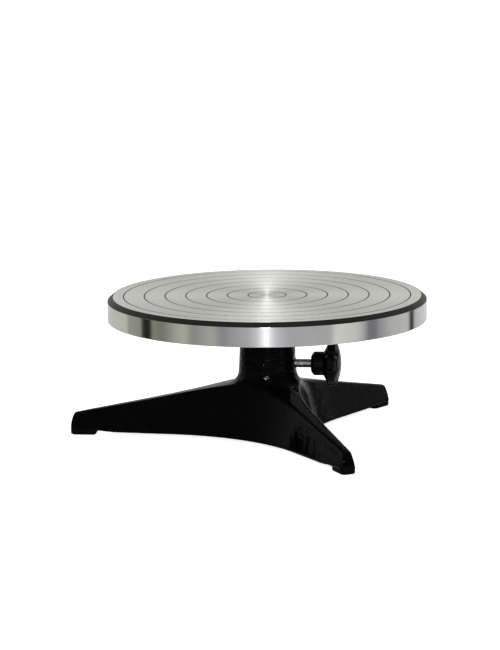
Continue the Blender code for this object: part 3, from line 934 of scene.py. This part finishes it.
# Azimuth from the camera's, elevation, distance, width, height in metres, and power in watts.
LIGHTS = {
    "overhead": (0, 88, 1.6, 0.6, 1.6, 1.6),
    "back_softbox": (180, 55, 1.6, 0.6, 0.8, 1.6),
    "back_strip": (180, 55, 1.55, 0.03, 0.8, 0.68),
    "front_strip": (-1, 0, 1.8, 0.015, 0.3, 0.2),
    "front_lamp": (-1, 15, 1.8, 0.14, 0.14, 13),
}
WALL_GREY = 0.24  # behind the camera
WALL_RISE = 0.46  # added by the far side, behind the turntable
CEILING = 0.15


def aim(obj, target):
    obj.rotation_euler = (Vector(target) - obj.location).to_track_quat("-Z", "Y").to_euler()


def toward(azimuth, elevation):
    """The direction of an azimuth, 0 at -Y, and an elevation in degrees."""
    a, e = math.radians(azimuth), math.radians(elevation)
    return Vector((math.sin(a) * math.cos(e), -math.cos(a) * math.cos(e), math.sin(e)))


def area_light(name, azimuth, elevation, distance, width, height, power):
    """A softbox placed by its direction from the turntable."""
    light = bpy.data.lights.new(name, "AREA")
    light.shape = "RECTANGLE"
    light.size, light.size_y = width, height
    light.energy = power
    obj = bpy.data.objects.new(name, light)
    bpy.context.scene.collection.objects.link(obj)
    centre = Vector((0, 0, -60 * MM))
    obj.location = centre + distance * toward(azimuth, elevation)
    aim(obj, centre)
    obj.visible_camera = False


def make_camera():
    back = toward(CAMERA_AZIMUTH, CAMERA_ELEVATION)
    data = bpy.data.cameras.new("camera")
    data.sensor_fit = "HORIZONTAL"
    data.sensor_width = SENSOR
    data.lens = LENS
    data.clip_end = 100
    camera = bpy.data.objects.new("camera", data)
    bpy.context.scene.collection.objects.link(camera)
    bpy.context.scene.camera = camera
    camera.location = back * CAMERA_DISTANCE
    look = back.to_track_quat("Z", "Y").to_matrix()
    swing = Matrix.Rotation(math.radians(CAMERA_SWING), 3, "Y")
    tilt = Matrix.Rotation(-math.radians(CAMERA_TILT), 3, "X")
    roll = Matrix.Rotation(math.radians(CAMERA_ROLL), 3, "Z")
    camera.rotation_euler = (look @ swing @ tilt @ roll).to_euler()


def make_floor():
    """A pale lit floor that the camera sees and that doesn't light the turntable."""
    mesh = bpy.data.meshes.new("floor")
    bm = bmesh.new()
    bmesh.ops.create_grid(bm, x_segments=1, y_segments=1, size=40)
    bm.to_mesh(mesh)
    bm.free()
    floor = bpy.data.objects.new("floor", mesh)
    bpy.context.scene.collection.objects.link(floor)
    floor.location.z = BENCH
    n = Nodes(
        "pale_floor", (0.9, 0.9, 0.9), roughness=0.9,
        Emission_Color=(1, 1, 1, 1), Emission_Strength=0.85,
    )
    n.colour(n.ramp(n.noise(3, 2), (0.3, (0.89, 0.89, 0.89)), (0.7, (0.91, 0.91, 0.91))))
    mesh.materials.append(n.material)
    floor.visible_glossy = False
    floor.visible_diffuse = False


# What the plate's rim mirrors from below the horizon, as (azimuth, brightness, warmth). Azimuth
# 0 is +X and 90 is +Y. The dips are black flags and the peaks are white cards.
ROOM = (
    (-180, 0.0, 0), (-176, 0.0, 0), (-173, 0.38, 1), (-166, 0.29, 1), (-145, 0.66, 1),
    (-138, 0.40, 0.3), (-123, 0.60, 0.5), (-116, 0.41, -0.5), (-99, 0.60, -0.5),
    (-92, 0.75, -0.8), (-84, 1.05, -0.3), (-74, 0.76, -0.9), (-67, 0.64, -0.5),
    (-37, 0.63, 0), (-33, 1.02, 0.4), (-17, 0.86, 0.4), (-10, 0.62, 0), (-5, 0.25, -1),
    (1, 0.25, -1.2), (6, 0.46, -0.4), (18, 0.66, 0), (40, 0.78, 0.2), (42, 0.0, -0.5),
    (46, 0.0, -0.5), (51, 0.72, 0), (80, 0.76, 0), (120, 0.68, 0.3), (155, 0.70, 0.7),
    (159, 0.42, 1), (174, 0.40, 1), (176, 0.0, 0),
)


def make_world():
    """Grey walls, brightest behind the turntable, a dim ceiling, and ROOM below the horizon."""
    world = bpy.data.worlds.new("studio")
    bpy.context.scene.world = world
    world.use_nodes = True
    tree = world.node_tree

    def node(kind, **settings):
        made = tree.nodes.new(kind)
        for key, value in settings.items():
            setattr(made, key, value)
        return made

    def calc(operation, *values):
        made = node("ShaderNodeMath", operation=operation)
        for socket, value in zip(made.inputs, values):
            if isinstance(value, bpy.types.NodeSocket):
                tree.links.new(value, socket)
            else:
                socket.default_value = value
        return made.outputs[0]

    def step(value, start, end):
        made = node("ShaderNodeMapRange", interpolation_type="SMOOTHSTEP")
        tree.links.new(value, made.inputs["Value"])
        made.inputs["From Min"].default_value = start
        made.inputs["From Max"].default_value = end
        return made.outputs["Result"]

    direction = node("ShaderNodeTexCoord").outputs["Generated"]
    split = node("ShaderNodeSeparateXYZ")
    tree.links.new(direction, split.inputs[0])
    x, y, z = split.outputs
    turn = calc("MULTIPLY_ADD", calc("ARCTAN2", y, x), 0.5 / math.pi, 0.5)
    ramp = node("ShaderNodeValToRGB")
    elements = ramp.color_ramp.elements
    ramp.color_ramp.interpolation = "EASE"
    while len(elements) < len(ROOM):
        elements.new(0.5)
    for element, (azimuth, grey, warmth) in zip(elements, ROOM):
        element.position = azimuth / 360 + 0.5
        element.color = (grey * (1 - 0.01 * warmth), grey, grey * (1 - 0.14 * warmth), 1)
    tree.links.new(turn, ramp.inputs["Fac"])
    a = math.radians(CAMERA_AZIMUTH)
    ahead = calc("ADD", calc("MULTIPLY", x, -math.sin(a)), calc("MULTIPLY", y, math.cos(a)))
    walls = calc("MULTIPLY_ADD", step(ahead, -0.4, 0.85), WALL_RISE, WALL_GREY)
    level = calc("MULTIPLY", walls, step(z, -0.05, 0.05))
    level = calc("ADD", level, calc("MULTIPLY", step(z, 0.5, 0.85), CEILING))
    rest = node("ShaderNodeCombineColor")
    for socket, tint in zip(rest.inputs, (1.0, 1.0, 0.97)):
        tree.links.new(calc("MULTIPLY", level, tint), socket)
    both = node("ShaderNodeMix", data_type="RGBA")
    above, below = both.inputs[6], both.inputs[7]  # the node's two colour sockets
    tree.links.new(step(z, -0.03, -0.09), both.inputs["Factor"])
    tree.links.new(rest.outputs[0], above)
    tree.links.new(ramp.outputs["Color"], below)
    tree.links.new(both.outputs[2], tree.nodes["Background"].inputs["Color"])


def make_stage():
    make_camera()
    make_floor()
    make_world()
    for name, (azimuth, *settings) in LIGHTS.items():
        area_light(name, CAMERA_AZIMUTH + azimuth, *settings)
    view = bpy.context.scene.view_settings
    view.view_transform = "Standard"
    view.look = "None"


head_plate()
edge_ring()
base_casting()
rubber_feet()
clamp_stud()
clamp_knob()
dress_model_nodes()
make_stage()
